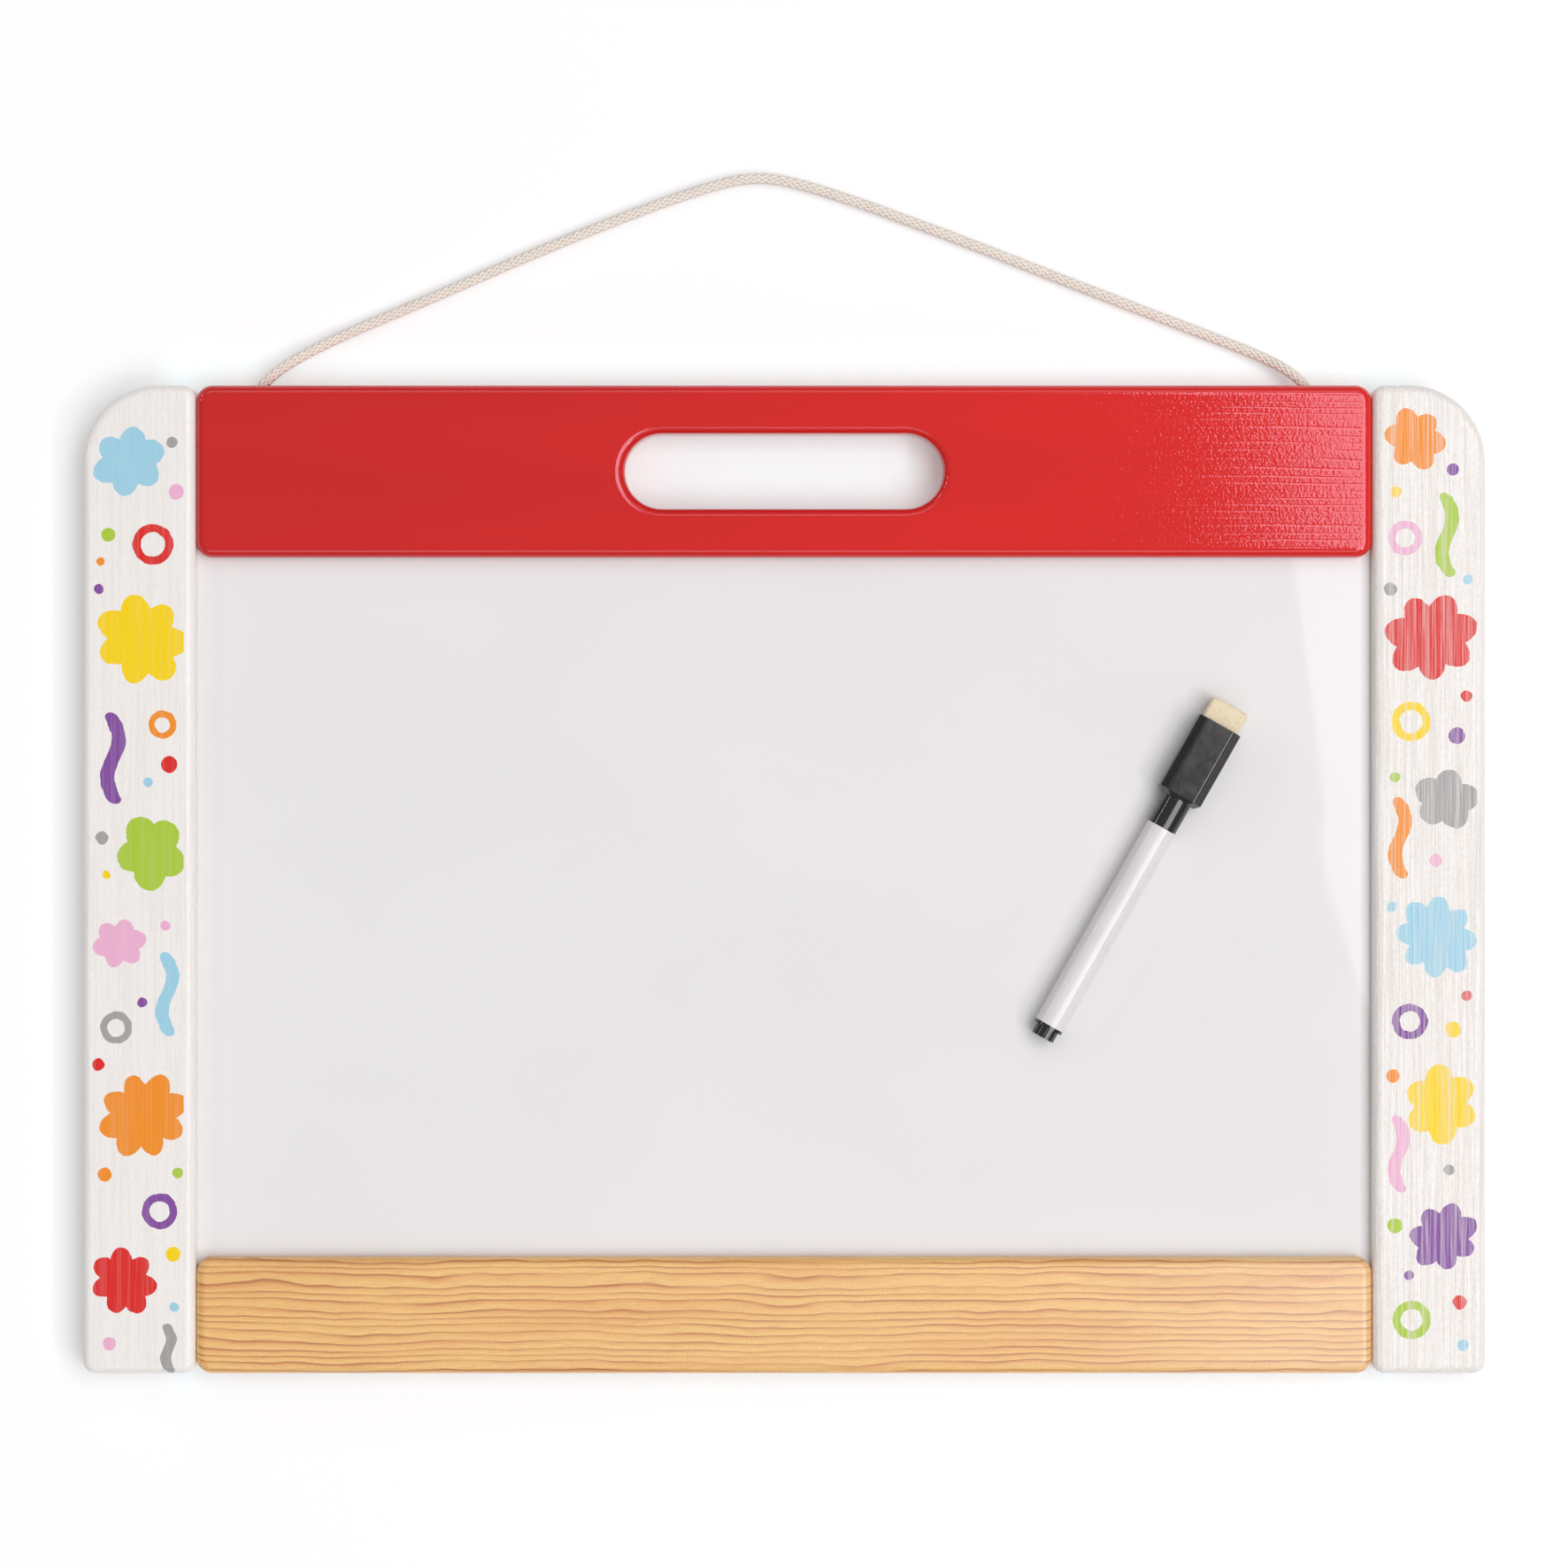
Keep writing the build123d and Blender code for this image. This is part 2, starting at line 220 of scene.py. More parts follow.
class CordSizes(bpy.types.PropertyGroup):
    """Sizes of the braided cord."""

    diameter: length("Diameter", "Outer diameter of the cord", 3.5 * MM)
    free_and_held: length("Length", "Length of the cord with both ends in their holes", 386.8 * MM)
    pitch: length("Pitch", "Length in which a strand goes once round", 15 * MM)
    strands: IntProperty(name="Strands", description="Strands in each direction", default=6, min=3)
    strand_width: length("Strand width", "Width of a flattened strand", 1.24 * MM)
    strand_thickness: length("Strand thickness", "Thickness of a flattened strand", 0.56 * MM)
    weave: length("Weave", "How far a strand moves in and out at crossings", 0.12 * MM)
    step: length("Step", "Distance between the rings of a strand", 0.32 * MM)


class StageSettings(bpy.types.PropertyGroup):
    """Camera and light of the studio."""

    camera_height: length("Camera height", "Camera above the board's front face", 1.6)
    view_width: length("View width", "Width of the picture at the board's front face", 0.4913)
    view_up: length("View centre", "Distance of the picture's centre above the board's middle", 0.0299)
    floor_size: length("Floor size", "Side of the floor", 12.0)
    lamp_height: length("Lamp height", "Height of the fill and back softboxes above the floor", 2.4)
    key_height: length("Key height", "Height of the softbox and the strip light on the right", 4.8)
    key_colour: colour("Key colour", "Tint of the softbox on the right", 255, 252, 255)
    key_radiance: number("Key radiance", "Brightness of that softbox's face", 3.5)
    fill_radiance: number("Fill radiance", "Brightness of the softbox at the lower side", 1.1)
    back_radiance: number("Back radiance", "Brightness of the softbox at the upper side", 0.9)
    strip_radiance: number("Strip radiance", "Brightness of the two strip lights", 20.0)
    zenith: number("Zenith", "Brightness of the surroundings straight above", 0.35)
    horizon: number("Horizon", "Brightness of the surroundings at the horizon", 0.2)
    floor_glow: number("Floor glow", "Light that the floor adds in the picture to be white", 0.22)
    far_glow: number("Far floor glow", "The same, away from the board and its shadow", 0.8)


class Field:
    """An output of a node tree. Arithmetic on it adds Math nodes to the tree."""

    def __init__(self, tree, socket):
        self.tree = tree
        self.socket = socket

    def feed(self, socket, value):
        """Link a field to a socket, or set the socket's own value."""
        if isinstance(value, Field):
            self.tree.links.new(value.socket, socket)
        elif socket.type == "RGBA":
            socket.default_value = (*value, 1.0)
        else:
            socket.default_value = value

    def node(self, kind, inputs, output=0, **settings):
        """Add a node with its settings, then the values or links of its sockets."""
        made = self.tree.nodes.new(kind)
        for name, value in settings.items():
            setattr(made, name, value)
        for key, value in dict(inputs).items():
            self.feed(made.inputs[key], value)
        return Field(self.tree, made.outputs[output])

    def math(self, operation, *values):
        """A Math node on the given values."""
        return self.node("ShaderNodeMath", enumerate(values), operation=operation)

    def __add__(self, other):
        return self.math("ADD", self, other)

    def __radd__(self, other):
        return self.math("ADD", other, self)

    def __sub__(self, other):
        return self.math("SUBTRACT", self, other)

    def __rsub__(self, other):
        return self.math("SUBTRACT", other, self)

    def __mul__(self, other):
        return self.math("MULTIPLY", self, other)

    def __rmul__(self, other):
        return self.math("MULTIPLY", other, self)

    def __truediv__(self, other):
        return self.math("DIVIDE", self, other)

    def __pow__(self, other):
        return self.math("POWER", self, other)

    def __lt__(self, other):
        return self.math("LESS_THAN", self, other)

    def __gt__(self, other):
        return self.math("GREATER_THAN", self, other)

    def __abs__(self):
        return self.math("ABSOLUTE", self)

    def axes(self):
        """The X, Y and Z of a vector field."""
        return [self.node("ShaderNodeSeparateXYZ", {0: self}, output=index) for index in range(3)]

    def stretched(self, *scale):
        """The vector field times a scale for each axis."""
        return self.node("ShaderNodeVectorMath", {0: self, 1: scale}, operation="MULTIPLY")

    def noise(self, detail=2.0, roughness=0.5):
        """Smooth noise from 0 to 1 on a vector field, with one wave to a unit."""
        inputs = {"Vector": self, "Scale": 1.0, "Detail": detail, "Roughness": roughness}
        return self.node("ShaderNodeTexNoise", inputs)

    def ramp(self, low, high):
        """A smooth rise from 0 at low to 1 at high."""
        inputs = {0: self, 1: low, 2: high, 3: 0.0, 4: 1.0}
        return self.node("ShaderNodeMapRange", inputs, interpolation_type="SMOOTHSTEP")

    def mix(self, first, second):
        """A colour that goes from first to second as this field goes from 0 to 1."""
        inputs = {0: self, 6: first, 7: second}
        return self.node("ShaderNodeMix", inputs, output=2, data_type="RGBA", clamp_factor=True)

    def bump(self, depth):
        """A normal from this field as a height, where 1 stands depth metres proud."""
        return self.node("ShaderNodeBump", {"Height": self, "Distance": depth, "Strength": 1.0})


def new_material(name):
    """A new material with the field of its Object coordinates."""
    material = bpy.data.materials.new(name)
    material.use_nodes = True
    coordinates = material.node_tree.nodes.new("ShaderNodeTexCoord")
    return material, Field(material.node_tree, coordinates.outputs["Object"])


def dress(place, sockets):
    """Set or link the sockets of the material's main shader."""
    shader = place.tree.nodes[SHADER]
    for name, value in sockets.items():
        place.feed(shader.inputs[name], value)


def red_lacquer(colours):
    """Gloss lacquer that sinks into the rail's long grain, most at its right end."""
    ring_pitch = 2.3 * MM
    material, place = new_material("red_lacquer")
    x, y, z = place.axes()
    wander = place.stretched(12, 40, 40).noise() - 0.5
    spread = place.stretched(2, 130, 60).noise(detail=1.0) - 0.5
    rings = (y + z * 0.4) / ring_pitch + wander * 1.6 + spread * 1.6
    phase = rings.math("FRACT", rings)
    sunken = 0.15 + x.ramp(0.1, 0.15) * 0.85
    depth = place.stretched(40, 260, 260).noise(detail=2.0).ramp(0.34, 0.56) * sunken
    furrows = phase.ramp(0.6, 0.84) * (1 - phase.ramp(0.84, 1.0)) * depth
    chatter = place.stretched(900, 500, 500).noise(detail=1.0)
    peel = place.stretched(1250, 1250, 1250).noise(detail=1.0)
    height = chatter * 0.7 + peel * 1.7 - furrows * 3.0
    # The red's tone: a random mottle, plus a painted light gradient that makes the red lighter towards the
    # rail's right end, on the key softbox's side; dark is the shaded copy of the red
    tone = place.stretched(6, 60, 60).noise().ramp(0.3, 0.7) * 0.2 + x.ramp(-0.2, 0.18) * 0.8
    dark = tuple(0.8 * part for part in colours.red)
    dress(place, {
        "Base Color": tone.mix(dark, colours.red),
        "Roughness": 0.04 + peel * 0.02,
        "Specular IOR Level": 0.8,
        "Specular Tint": (1.0, 0.84, 1.0),
        "Normal": height.bump(0.012 * MM),
    })
    return material


def clear_pine(colours):
    """Straight-grained pine under a thin satin coat, with a painted sheen that lightens its right end."""
    ring_pitch = 2.5 * MM
    material, place = new_material("clear_pine")
    x, y, z = place.axes()
    drift = place.stretched(20, 24, 24).noise(detail=1.0) - 0.5
    ripple = place.stretched(62, 110, 110).noise(detail=1.0) - 0.5
    spread = place.stretched(1.2, 150, 60).noise(detail=0.0) - 0.5
    rings = (y + z * 0.45) / ring_pitch + drift * 1.5 + ripple * 0.8 + spread * 2.2
    phase = rings.math("FRACT", rings)
    line = phase.ramp(0.5, 0.95) * phase.ramp(0.66, 0.93) * (1 - phase.ramp(0.94, 1.0))
    band = phase.ramp(0.25, 0.95)
    strength = place.stretched(22, 300, 300).noise(detail=2.0).ramp(0.34, 0.66)
    patches = place.stretched(16, 120, 120).noise().ramp(0.42, 0.72)
    fibres = place.stretched(160, 2600, 2600).noise(detail=2.0)
    pores = place.stretched(1900, 3000, 3000).noise(detail=1.0)
    wood = (band * (0.4 + strength * 0.45) + patches * 0.3).mix(colours.pine_pale, colours.pine_deep)
    wood = (line * (0.25 + strength * 0.75)).mix(wood, colours.pine_line)
    wood = (fibres.ramp(0.46, 0.7) * 0.2).mix(wood, colours.pine_line)
    wood = (pores.ramp(0.44, 0.66) * 0.24).mix(wood, colours.pine_line)
    # Painted sheen: the wood is mixed towards white at the rail's right end, standing in for the key
    # light's glare on the coat
    painted_sheen = x.ramp(0.06, 0.2) * 0.1
    wood = painted_sheen.mix(wood, (1.0, 1.0, 1.0))
    height = fibres * 0.5 + pores * 0.25 - line * 0.7
    dress(place, {
        "Base Color": wood,
        "Roughness": 0.38 + fibres * 0.1,
        "Specular IOR Level": 1.0,
        "Coat Weight": 0.8,
        "Coat Roughness": 0.42,
        "Normal": height.bump(0.014 * MM),
    })
    return material


def motif_mask(kind, across, along, size, *facts):
    """The share of paint at a point, for one motif about the point where across and along are 0."""
    if kind == "stroke":
        half_length = size * MM
        thickness, = facts
        turn = along * (pi / half_length)
        aside = across - turn.math("SINE", turn) * (0.15 * half_length)
        past_end = abs(along) - half_length
        past_end = past_end.math("MAXIMUM", past_end, 0.0)
        reach = (past_end * past_end + aside * aside) ** 0.5
        return reach < thickness / 2 * MM
    reach = (across * across + along * along) ** 0.5
    if kind == "ring":
        thickness, = facts
        return abs(reach - (size - thickness / 2) * MM) < thickness / 2 * MM
    if kind == "dab":
        lobes, turn = facts
        angle = along.math("ARCTAN2", along, across)
        swell = abs(angle.math("SINE", angle * (lobes / 2) + turn)) * 0.3
        lean = angle.math("SINE", angle * 2 + turn * 1.7) * 0.06
        return reach < (swell + lean + 0.8) * (0.92 * size * MM)
    return reach < size * MM


def white_paint(name, colours, prints, middle, edges, motifs, grain):
    """Semi-gloss paint over grain, with paint motifs printed between two edges of the front.

    A grain of 1 is a smooth stile's, and more of it stands out of the paint and through the print, with
    painted shade along the grain and painted glare streaked through the print.
    """
    raised = grain - 1
    front_depth = 2.2 * MM
    material, place = new_material(name)
    streaks = place.stretched(1500, 26, 1500).noise(detail=2.0, roughness=0.6)
    ridges = 1 - abs(place.stretched(700, 14, 700).noise(detail=1.0) - 0.5).ramp(0.0, 0.07)
    broad = place.stretched(420, 8, 420).noise(detail=1.0)
    dots = place.stretched(1900, 800, 1900).noise(detail=1.0)
    wobble = (place.stretched(420, 420, 420).noise() - 0.5) * (0.9 * MM)
    x, y, z = place.axes()
    across = x + wobble - middle
    along = y + wobble
    dull = tuple(part * share for part, share in zip(colours.paint, (0.86, 0.83, 0.8)))
    # Painted shade in the grain: the paint is darker along the grain's streaks, in broad bands and in
    # dots, and along the raised ridges, more so on a stile with more grain
    painted_grain_shade = streaks.ramp(0.44, 0.62) * 0.28 + broad.ramp(0.5, 0.75) * 0.1 + dots.ramp(0.46, 0.62) * 0.2
    coat = (painted_grain_shade * grain + ridges * (0.5 * raised)).mix(colours.paint, dull)
    printed = (x > edges[0]) * (x < edges[1]) * (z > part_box("left_stile")[1].z - front_depth)
    # Less ink along the grain streaks and ridges; the share that grows with raised grain is painted glare
    # on the raised grain, streaked through the print
    ink_with_painted_glare = 1 - streaks.ramp(0.46, 0.64) * (0.07 + 0.18 * raised) - ridges * (0.32 * raised)
    for kind, ink, right, up, size, *facts in motifs:
        mask = motif_mask(kind, across - right * MM, along - up * MM, size, *facts)
        coat = (mask * printed * ink_with_painted_glare).mix(coat, getattr(prints, ink))
    height = broad * 0.8 + dots * 0.5 - streaks * 1.5
    dress(place, {
        "Base Color": coat,
        "Roughness": 0.15 + dots * 0.1,
        "Specular IOR Level": 0.4,
        "Normal": height.bump(0.055 * grain * MM),
    })
    return material


def gloss_sheet(colours):
    """The hard white face of the panel, a little uneven and bowed as laminated sheets are."""
    relief = 0.02 * MM
    fall_per_metre = 3.48 * MM
    material, place = new_material("gloss_white_sheet")
    x, y, _ = place.axes()
    bow = x * y.ramp(-50 * MM, 20 * MM) * (-fall_per_metre / relief)
    sway = place.stretched(30, 12, 1).noise(detail=1.0)
    ghost = place.stretched(9, 14, 1).noise(detail=3.0)
    grain = place.stretched(2600, 2600, 1).noise(detail=0.0)
    shade = tuple(0.975 * part for part in colours.sheet)
    dress(place, {
        "Base Color": ghost.ramp(0.35, 0.7).mix(colours.sheet, shade),
        "Specular IOR Level": 0.33,
        "Roughness": 0.014 + ghost * 0.014,
        "Normal": (bow + sway + grain * 0.002).bump(relief),
    })
    return material


def hardboard(colours):
    """Raw pressed fibre, with the screen marks of its rough side."""
    screen_pitch = 1.6 * MM
    material, place = new_material("hardboard")
    turns = [axis * (2 * pi / screen_pitch) for axis in place.axes()[:2]]
    across, along = [turn.math("SINE", turn) for turn in turns]
    flakes = place.stretched(700, 700, 700).noise(detail=4.0, roughness=0.65)
    clouds = place.stretched(30, 30, 30).noise()
    dark = tuple(0.55 * part for part in colours.hardboard)
    dull = tuple(0.86 * part for part in colours.hardboard)
    pale = tuple(min(1.0, 1.35 * part) for part in colours.hardboard)
    body = clouds.ramp(0.3, 0.7).mix(colours.hardboard, dull)
    body = (flakes.ramp(0.55, 0.75) * 0.7).mix(body, pale)
    body = (1 - flakes.ramp(0.25, 0.45)).mix(body, dark)
    height = across * along * 0.5 + flakes * 0.8
    dress(place, {"Base Color": body, "Roughness": 0.82, "Normal": height.bump(0.12 * MM)})
    return material


def beech(colours):
    """Plain turned beech with short flecks."""
    material, place = new_material("beech")
    flecks = place.stretched(260, 2200, 2200).noise()
    dark = tuple(0.62 * part for part in colours.beech)
    dress(place, {
        "Base Color": (flecks.ramp(0.5, 0.75) * 0.7).mix(colours.beech, dark),
        "Roughness": 0.6,
        "Normal": flecks.bump(0.03 * MM),
    })
    return material


def cotton(colours):
    """Twisted cotton yarn that follows each strand of the braid."""
    material, place = new_material("cotton_cord")
    uv = place.node("ShaderNodeUVMap", {}, uv_map="strand")
    along, around, _ = uv.axes()
    twist = (along * 4.2 + around * 5.0) * (2 * pi)
    yarns = twist.math("SINE", twist) * 0.5 + 0.5
    fuzz = place.stretched(3800, 3800, 3800).noise(detail=3.0, roughness=0.7)
    patches = place.stretched(240, 240, 240).noise()
    dull = tuple(part * share for part, share in zip(colours.cotton, (0.84, 0.79, 0.74)))
    # Painted shade: the cotton is darker in the grooves between the twisted yarns; the patches are the
    # yarn's own uneven tone
    tone = (1 - yarns) * 0.22 + patches.ramp(0.45, 0.75) * 0.25
    dress(place, {
        "Base Color": tone.mix(colours.cotton, dull),
        "Roughness": 0.86,
        "Normal": (yarns * 0.8 + fuzz * 0.6).bump(0.05 * MM),
        "Sheen Weight": 0.25,
        "Sheen Roughness": 0.5,
    })
    return material


def white_plastic(colours):
    """Gloss white moulding with faint flow marks."""
    material, place = new_material("white_plastic")
    flow = place.stretched(60, 60, 60).noise(detail=3.0)
    scuffs = place.stretched(1800, 500, 900).noise(detail=1.0)
    warm = tuple(part * share for part, share in zip(colours.barrel, (0.97, 0.955, 0.96)))
    dress(place, {
        "Base Color": flow.ramp(0.35, 0.7).mix(colours.barrel, warm),
        "Roughness": 0.12 + scuffs * 0.08,
        "Normal": (flow + scuffs * 0.06).bump(0.006 * MM),
    })
    return material


def black_plastic(colours):
    """Gloss black moulding with fine handling marks."""
    material, place = new_material("black_plastic")
    flow = place.stretched(90, 90, 90).noise(detail=3.0)
    scuffs = place.stretched(1400, 2200, 1400).noise(detail=2.0)
    wear = place.stretched(150, 150, 150).noise(detail=3.0).ramp(0.3, 0.72)
    worn = tuple(2.2 * part for part in colours.black)
    dress(place, {
        "Base Color": (scuffs.ramp(0.58, 0.8) * 0.5).mix(colours.black, worn),
        "Specular IOR Level": 0.9,
        "Roughness": 0.07 + wear * 0.06 + scuffs * 0.08,
        "Normal": (flow * 7 + scuffs * 0.15).bump(0.01 * MM),
    })
    return material


def nib_fibre(colours):
    """Ink-soaked fibre of the nib and the reservoir."""
    material, place = new_material("nib_fibre")
    strands = place.stretched(2400, 2400, 2400).noise(detail=3.0)
    pale = tuple(2.5 * part for part in colours.fibre)
    dress(place, {
        "Base Color": strands.ramp(0.4, 0.75).mix(colours.fibre, pale),
        "Roughness": 0.7,
        "Normal": strands.bump(0.05 * MM),
    })
    return material


def cream_felt(colours):
    """Pressed wool felt."""
    material, place = new_material("cream_felt")
    wool = place.stretched(1900, 1900, 1900).noise(detail=4.0, roughness=0.75)
    tufts = place.stretched(620, 620, 620).noise(detail=2.0)
    deep = tuple(part * share for part, share in zip(colours.felt, (0.86, 0.8, 0.7)))
    tone = wool.ramp(0.42, 0.62) * 0.75 + tufts.ramp(0.45, 0.7) * 0.25
    dress(place, {
        "Base Color": tone.mix(colours.felt, deep),
        "Roughness": 0.93,
        "Normal": (wool + tufts * 0.6).bump(0.1 * MM),
        "Sheen Weight": 0.3,
        "Sheen Roughness": 0.6,
    })
    return material


def give(material, *nodes):
    """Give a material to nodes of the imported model."""
    for node in nodes:
        frame["nodes"][node].material_slots[0].material = material


def deselect():
    """Leave nothing selected, so that an operator acts on the new piece alone."""
    bpy.ops.object.select_all(action="DESELECT")


def add_mesh(name, points, faces):
    """A new mesh object from its points and faces."""
    mesh = bpy.data.meshes.new(name)
    mesh.from_pydata(points, [], faces)
    piece = bpy.data.objects.new(name, mesh)
    bpy.context.scene.collection.objects.link(piece)
    return piece


def cord_line():
    """Points along the smooth line of the cord's route."""
    curve = bpy.data.curves.new("cord_line", "CURVE")
    curve.dimensions = "3D"
    curve.resolution_u = 16
    spline = curve.splines.new("NURBS")
    spline.points.add(len(CORD_ROUTE) - 1)
    for point, place in zip(spline.points, CORD_ROUTE):
        point.co = (*place, 1.0)
    spline.order_u = 3
    spline.use_endpoint_u = True
    holder = bpy.data.objects.new("cord_line", curve)
    bpy.context.scene.collection.objects.link(holder)
    bpy.context.view_layer.update()
    mesh = bpy.data.meshes.new_from_object(holder)
    points = [vertex.co.copy() for vertex in mesh.vertices]
    bpy.data.objects.remove(holder)
    bpy.data.meshes.remove(mesh)
    return points


def even_steps(points, step):
    """Points at even steps along a line, with its length so far at each."""
    lengths = [0.0]
    for before, after in zip(points, points[1:]):
        lengths.append(lengths[-1] + (after - before).length)
    count = round(lengths[-1] / step)
    found = []
    index = 0
    for number_of_steps in range(count + 1):
        target = lengths[-1] * number_of_steps / count
        while index < len(points) - 2 and lengths[index + 1] < target:
            index += 1
        share = (target - lengths[index]) / (lengths[index + 1] - lengths[index])
        found.append((target, points[index].lerp(points[index + 1], share)))
    return found


def carried_frames(line):
    """For each point of a line: its length so far, the point, and two directions square to the line."""
    frames = []
    side = Vector((0, 0, 1))
    for index, (reach, point) in enumerate(line):
        ahead = line[min(index + 1, len(line) - 1)][1] - line[max(index - 1, 0)][1]
        ahead.normalize()
        side = (side - ahead * side.dot(ahead)).normalized()
        frames.append((reach, point, side, ahead.cross(side)))
    return frames


def ring_tube(rings):
    """Faces of a closed tube through rings of points, and the points in order."""
    sides = len(rings[0])
    points = [point for ring in rings for point in ring]
    faces = []
    for ring in range(len(rings) - 1):
        for side in range(sides):
            after = (side + 1) % sides
            low, high = ring * sides, (ring + 1) * sides
            faces.append((low + side, low + after, high + after, high + side))
    faces.append(tuple(reversed(range(sides))))
    faces.append(tuple(range(len(points) - sides, len(points))))
    return points, faces


def strand_rings(frames, sizes, start, turning):
    """Rings of one flattened strand that winds round the cord and dips at every other crossing."""
    sides = 5
    rate = turning * 2 * pi / sizes.pitch
    radius = (sizes.diameter - sizes.strand_thickness) / 2 - sizes.weave
    middles = []
    for reach, point, side, other in frames:
        angle = start + rate * reach
        outward = side * cos(angle) + other * sin(angle)
        dip = turning * sizes.weave * cos(abs(rate) * sizes.strands * reach)
        middles.append((point + outward * (radius + dip), outward))
    rings = []
    for index, (middle, outward) in enumerate(middles):
        ahead = middles[min(index + 1, len(middles) - 1)][0] - middles[max(index - 1, 0)][0]
        aside = outward.cross(ahead).normalized()
        ring = []
        for corner in range(sides):
            angle = 2 * pi * (corner + 0.25) / sides
            wide = aside * (cos(angle) * sizes.strand_width / 2)
            ring.append(middle + wide + outward * (sin(angle) * sizes.strand_thickness / 2))
        rings.append(ring)
    return rings


def core_rings(frames, sizes):
    """Rings of the plain core inside the braid, fewer than a strand's."""
    sides = 8
    every = 4
    radius = sizes.diameter / 2 - 2 * sizes.strand_thickness
    rings = []
    for _, point, side, other in frames[::every]:
        angles = [2 * pi * corner / sides for corner in range(sides)]
        rings.append([point + (side * cos(angle) + other * sin(angle)) * radius for angle in angles])
    return rings


def eraser_space():
    """The CAD eraser's middle, its three directions and its size along each."""
    ahead = Vector(next(joint["axis"] for joint in frame["joints"] if joint["name"] == "cap_pull"))
    up = Vector((0, 0, 1))
    directions = (ahead, up.cross(ahead), up)
    corners = [vertex.co for vertex in frame["nodes"]["felt_eraser"].data.vertices]
    lows = [min(corner.dot(way) for corner in corners) for way in directions]
    highs = [max(corner.dot(way) for corner in corners) for way in directions]
    middle = sum((way * (low + high) / 2 for way, low, high in zip(directions, lows, highs)), Vector())
    return middle, directions, [high - low for low, high in zip(lows, highs)]


class BOARD_OT_top_rail(bpy.types.Operator):
    """Lacquer the top rail"""

    bl_idname = "board.top_rail"
    bl_label = "Top rail"

    def execute(self, context):
        give(red_lacquer(context.scene.board_colours), "top_rail")
        return {"FINISHED"}


class BOARD_OT_bottom_rail(bpy.types.Operator):
    """Finish the bottom rail in clear pine"""

    bl_idname = "board.bottom_rail"
    bl_label = "Bottom rail"

    def execute(self, context):
        give(clear_pine(context.scene.board_colours), "bottom_rail")
        return {"FINISHED"}


class BOARD_OT_stiles(bpy.types.Operator):
    """Paint the stiles and print their motifs"""

    bl_idname = "board.stiles"
    bl_label = "Stiles"

    def execute(self, context):
        bare_edges = {"left_stile": (1.0 * MM, 3.6 * MM), "right_stile": (1.3 * MM, 2.8 * MM)}
        raised_grain = {"left_stile": 1.0, "right_stile": 1.9}
        for node, motifs in (("left_stile", LEFT_MOTIFS), ("right_stile", RIGHT_MOTIFS)):
            low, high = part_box(node)
            edges = (low.x + bare_edges[node][0], high.x - bare_edges[node][1])
            paint = white_paint(
                node + "_paint", context.scene.board_colours, context.scene.board_prints,
                (low.x + high.x) / 2, edges, motifs, raised_grain[node],
            )
            give(paint, node)
        return {"FINISHED"}


class BOARD_OT_panel(bpy.types.Operator):
    """Finish the writing sheet and its hardboard back"""

    bl_idname = "board.panel"
    bl_label = "Writing panel"

    def execute(self, context):
        give(gloss_sheet(context.scene.board_colours), "writing_sheet")
        give(hardboard(context.scene.board_colours), "backing_board")
        return {"FINISHED"}


class BOARD_OT_dowels(bpy.types.Operator):
    """Finish the dowels inside the corners"""

    bl_idname = "board.dowels"
    bl_label = "Dowels"

    def execute(self, context):
        dowels = [node for node in frame["nodes"] if node.endswith("_dowels")]
        give(beech(context.scene.board_colours), *dowels)
        return {"FINISHED"}


class BOARD_OT_cord(bpy.types.Operator):
    """Braid the hanging cord along its route"""

    bl_idname = "board.cord"
    bl_label = "Hanging cord"

    def execute(self, context):
        sizes = context.scene.board_cord
        line = cord_line()
        frames = carried_frames(even_steps(line, sizes.step))
        points, faces, places = [], [], []
        tubes = [core_rings(frames, sizes)]
        for turning in (1, -1):
            for strand in range(sizes.strands):
                tubes.append(strand_rings(frames, sizes, 2 * pi * strand / sizes.strands, turning))
        for rings in tubes:
            tube_points, tube_faces = ring_tube(rings)
            faces += [tuple(corner + len(points) for corner in face) for face in tube_faces]
            points += tube_points
            spacing = frames[-1][0] / (len(rings) - 1) / MM
            for ring in range(len(rings)):
                places += [(ring * spacing, side / len(rings[0])) for side in range(len(rings[0]))]
        cord = add_mesh("braided_cord", points, faces)
        layer = cord.data.uv_layers.new(name="strand")
        for loop in cord.data.loops:
            layer.data[loop.index].uv = places[loop.vertex_index]
        deselect()
        cord.select_set(True)
        context.view_layer.objects.active = cord
        bpy.ops.object.shade_smooth()
        cord.data.materials.append(cotton(context.scene.board_colours))
        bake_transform(cord)
        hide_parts("hanging_cord", "left_cord_end", "right_cord_end")
        return {"FINISHED"}


class BOARD_OT_marker(bpy.types.Operator):
    """Finish the marker and its cap"""

    bl_idname = "board.marker"
    bl_label = "Marker"

    def execute(self, context):
        colours = context.scene.board_colours
        give(white_plastic(colours), "marker_barrel")
        give(black_plastic(colours), "marker_cap", "marker_end_plug", "nib_holder")
        give(nib_fibre(colours), "marker_nib", "ink_reservoir")
        return {"FINISHED"}


